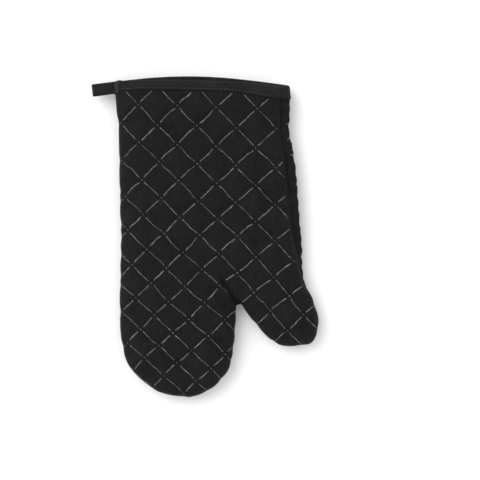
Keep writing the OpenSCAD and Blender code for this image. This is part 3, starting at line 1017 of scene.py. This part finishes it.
def binding():
    """The folded tape: outside, over the raw edges, and inside the mouth."""
    half = TAPE_STATIONS // 2
    rings = []
    for share, lift in TAPE_OUTER + TAPE_INNER:
        loop = []
        for face in (FRONT, BACK):
            flat, depth = mouth_ring(share, half + 1, face)
            co, normal = on_surface(flat, face, CALM)
            ripple = 0.15 * wave(flat, 9, 1.3)
            past = np.array([0, 1, 0]) * np.maximum(-depth, 0)[:, None]
            q = co + normal * (lift + ripple)[:, None] + past
            loop.append((q, flat) if face > 0 else (q[::-1], flat[::-1]))
        for end in (0, -1):
            middle = (loop[0][0][end] + loop[1][0][-1 - end]) / 2
            loop[0][0][end] = loop[1][0][-1 - end] = middle
        co = np.vstack([loop[0][0], loop[1][0][1:-1]])
        rest = np.vstack([loop[0][1], loop[1][1][1:-1]])
        rings.append((co, rest))
    count, m = len(rings[0][0]), len(rings)
    points = np.stack([r[0] for r in rings], axis=1).reshape(-1, 3)
    points[:, 2] = np.maximum(points[:, 2], 0)
    rest = np.stack([r[1] for r in rings], axis=1).reshape(-1, 2)
    rest[:, 1] += np.tile(np.arange(m) * TAPE_STEP, count)
    faces = [(i * m + k, i * m + (k + 1) % m, (i + 1) % count * m + (k + 1) % m, (i + 1) % count * m + k)
             for i in range(count) for k in range(m)]
    outer = points[: len(TAPE_OUTER)]
    folded_width = np.linalg.norm(np.diff(outer, axis=0), axis=1).sum()
    length = np.linalg.norm(points[::m] - np.roll(points[::m], 1, axis=0), axis=1).sum()
    piece = make_object("cuff_binding_tape", points, faces, TAPE, rest)
    return piece, (float(folded_width * MM), float(length * MM))


tape, tape_cut = binding()
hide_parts("cuff_binding")
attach(tape, "hand")

# -------- stitches
THREAD_RADIUS = 0.25
THREAD_SIDES = 6
# A stitch of the binding: its pitch along the cuff, its length, its place above the binding's lower edge,
# and its lift above the shell.
TOP_PITCH, TOP_LENGTH, TOP_INSET, TOP_LIFT = 3.4, 2.5, 1.5, 0.95
TOP_LEFT, TOP_RIGHT = -78, 71
# The seam's stitches lie this deep, and end below the binding.
SEAM_SUNK = 1.0
SEAM_STITCH_TOP = 128


def thread(p, flat):
    """A round thread along 3-D points, thin at both ends, with its place on the flat cloth."""
    tangent = np.gradient(p, axis=0)
    tangent /= np.linalg.norm(tangent, axis=1)[:, None]
    a = np.cross(tangent, [0.13, 0.2, 1.0])
    a /= np.linalg.norm(a, axis=1)[:, None]
    b = np.cross(tangent, a)
    size = np.ones(len(p)) * THREAD_RADIUS
    size[[0, -1]] *= 0.45
    co = np.stack([p + (a * math.cos(t) + b * math.sin(t)) * size[:, None]
                   for t in np.arange(THREAD_SIDES) * 2 * math.pi / THREAD_SIDES], axis=1).reshape(-1, 3)
    return co, swept(THREAD_SIDES, len(p) - 1), np.repeat(flat, THREAD_SIDES, axis=0)


def stitch(start, end, lift, face):
    """One stitch that dives into the cloth at both ends."""
    t = np.linspace(0, 1, 6)
    flat = np.array(start) * (1 - t)[:, None] + np.array(end) * t[:, None]
    co, normal = on_surface(flat, face)
    arch = lift + 0.28 * np.sin(math.pi * t) ** 0.6 - 0.2
    return thread(co + normal * arch[:, None], flat)


def top_stitching():
    """The row of stitches along the binding's lower edge, on both panels."""
    parts = []
    for face in (FRONT, BACK):
        for x in np.arange(TOP_LEFT, TOP_RIGHT, TOP_PITCH):
            y = cuff_y(x + np.array([0, TOP_LENGTH])) - binding_width(x, face) + TOP_INSET
            parts.append(stitch((x, y[0]), (x + TOP_LENGTH, y[1]), TOP_LIFT, face))
    return joined("binding_top_stitches", parts, THREAD)


stitches = top_stitching()
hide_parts("binding_stitching")
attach(stitches, "hand")


def seam_threads(thumb):
    """Short stitches in the groove of the side seam, seen where the panels part a little."""
    line = spaced(SEAM, 1.4)
    parts = []
    for k in range(0, len(line) - 2, 3):
        here = line[k : k + 3]
        if past_thumb(here[1]) == thumb and here[0][1] < SEAM_STITCH_TOP:
            front, normal = on_surface(here, FRONT)
            back, other = on_surface(here, BACK)
            parts.append(thread((front + back) / 2 - (normal + other) / 2 * SEAM_SUNK, here))
    return joined(f"side_seam_stitches_{part_name(thumb)}", parts, THREAD)


for thumb in (False, True):
    seam = seam_threads(thumb)
    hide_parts(*[f"side_seam_thread_{z}" for z in zones(thumb)])
    bend(seam, thumb)


# -------- hanging loop and its bartack
LOOP_LOW, LOOP_HIGH = (np.array(tuple(c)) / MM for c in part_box("hanging_loop"))
TAPE_WIDTH, TAPE_THICKNESS = 11.4, 1.0
LOOP_TILT = math.radians(7)
# The sewn ends, in the binding just past the CAD loop's box.
LOOP_ROOT = np.array([LOOP_HIGH[0] + 3.6, (LOOP_LOW[1] + LOOP_HIGH[1]) / 2 + 1.6, SEAM_Z])
LOOP_REACH = LOOP_ROOT[0] - LOOP_LOW[0] + 0.4
# The share of the tape before its fold, and the share in the fold.
LOOP_LEG, LOOP_FOLD = 0.42, 0.16
# Half the gap between the two legs, at the sewn ends and what it opens by at the fold, and the fold's sag.
LOOP_GAP, LOOP_OPEN, LOOP_SAG = 0.62, 1.5, 1.6


def loop_path(t):
    """The middle line of the folded tape, at shares of its length, seen from the tape's edge."""
    angle = np.pi * np.clip((t - LOOP_LEG) / LOOP_FOLD, 0, 1)
    out = np.where(t < LOOP_LEG, t / LOOP_LEG, np.where(t > 1 - LOOP_LEG, (1 - t) / LOOP_LEG, 1.0))
    half = LOOP_GAP + LOOP_OPEN * smooth(out)
    x = -LOOP_REACH * out * 0.9 - LOOP_REACH * 0.1 * np.sin(angle)
    z = half * np.cos(angle) - LOOP_SAG * smooth(out)
    return np.column_stack([x, np.zeros_like(x), z])


def hanging_loop():
    """A flat tape folded on itself. Its ends run into the binding, and the fold stands a little open."""
    t = np.linspace(0, 1, 40)
    path = loop_path(t)
    step = np.gradient(path, axis=0)
    step /= np.linalg.norm(step, axis=1)[:, None]
    up = np.column_stack([step[:, 2], np.zeros(len(t)), -step[:, 0]])
    run = np.concatenate([[0], np.cumsum(np.linalg.norm(np.diff(path, axis=0), axis=1))])
    across = np.linspace(-0.5, 0.5, 9)
    thick = TAPE_THICKNESS / 2 * np.sqrt(1 - (np.abs(across) * 2 * 0.96) ** 8)
    section = [(a, h) for a, h in zip(across, thick)] + [(a, -h) for a, h in zip(across[::-1], thick[::-1])]
    points, rest = [], []
    for i, share in enumerate(t):
        curl = 0.25 * math.sin(3.0 * share + 1.0)
        for a, h in section:
            lift = h + curl * (2 * a) ** 2 * 0.5
            points.append(path[i] + up[i] * lift + np.array([0, a * TAPE_WIDTH, 0]))
            rest.append((a * TAPE_WIDTH + h, run[i]))
    points = np.array(points)
    c, s = math.cos(LOOP_TILT), math.sin(LOOP_TILT)
    points[:, :2] = points[:, :2] @ np.array([[c, s], [-s, c]])
    points += LOOP_ROOT
    faces = [f[::-1] for f in swept(len(section), len(t) - 1)]
    return make_object("hanging_loop_tape", points, faces, LOOP_TAPE, np.array(rest)), run[-1]


loop_piece, loop_run = hanging_loop()
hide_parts("hanging_loop")
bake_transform(loop_piece)


TACK_STITCHES, TACK_PITCH = 9, 1.15
TACK_LEFT, TACK_RIGHT, TACK_LOW = -84.6, -81.6, 136.6


def bartack():
    """Close satin stitches across the root of the loop."""
    parts = []
    for k in range(TACK_STITCHES):
        y = TACK_LOW + k * TACK_PITCH
        parts.append(stitch((TACK_LEFT, y), (TACK_RIGHT, y + 0.3), 1.0, FRONT))
    return joined("loop_bartack_stitches", parts, THREAD)


tack = bartack()
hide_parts("loop_bartack")
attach(tack, "hand")
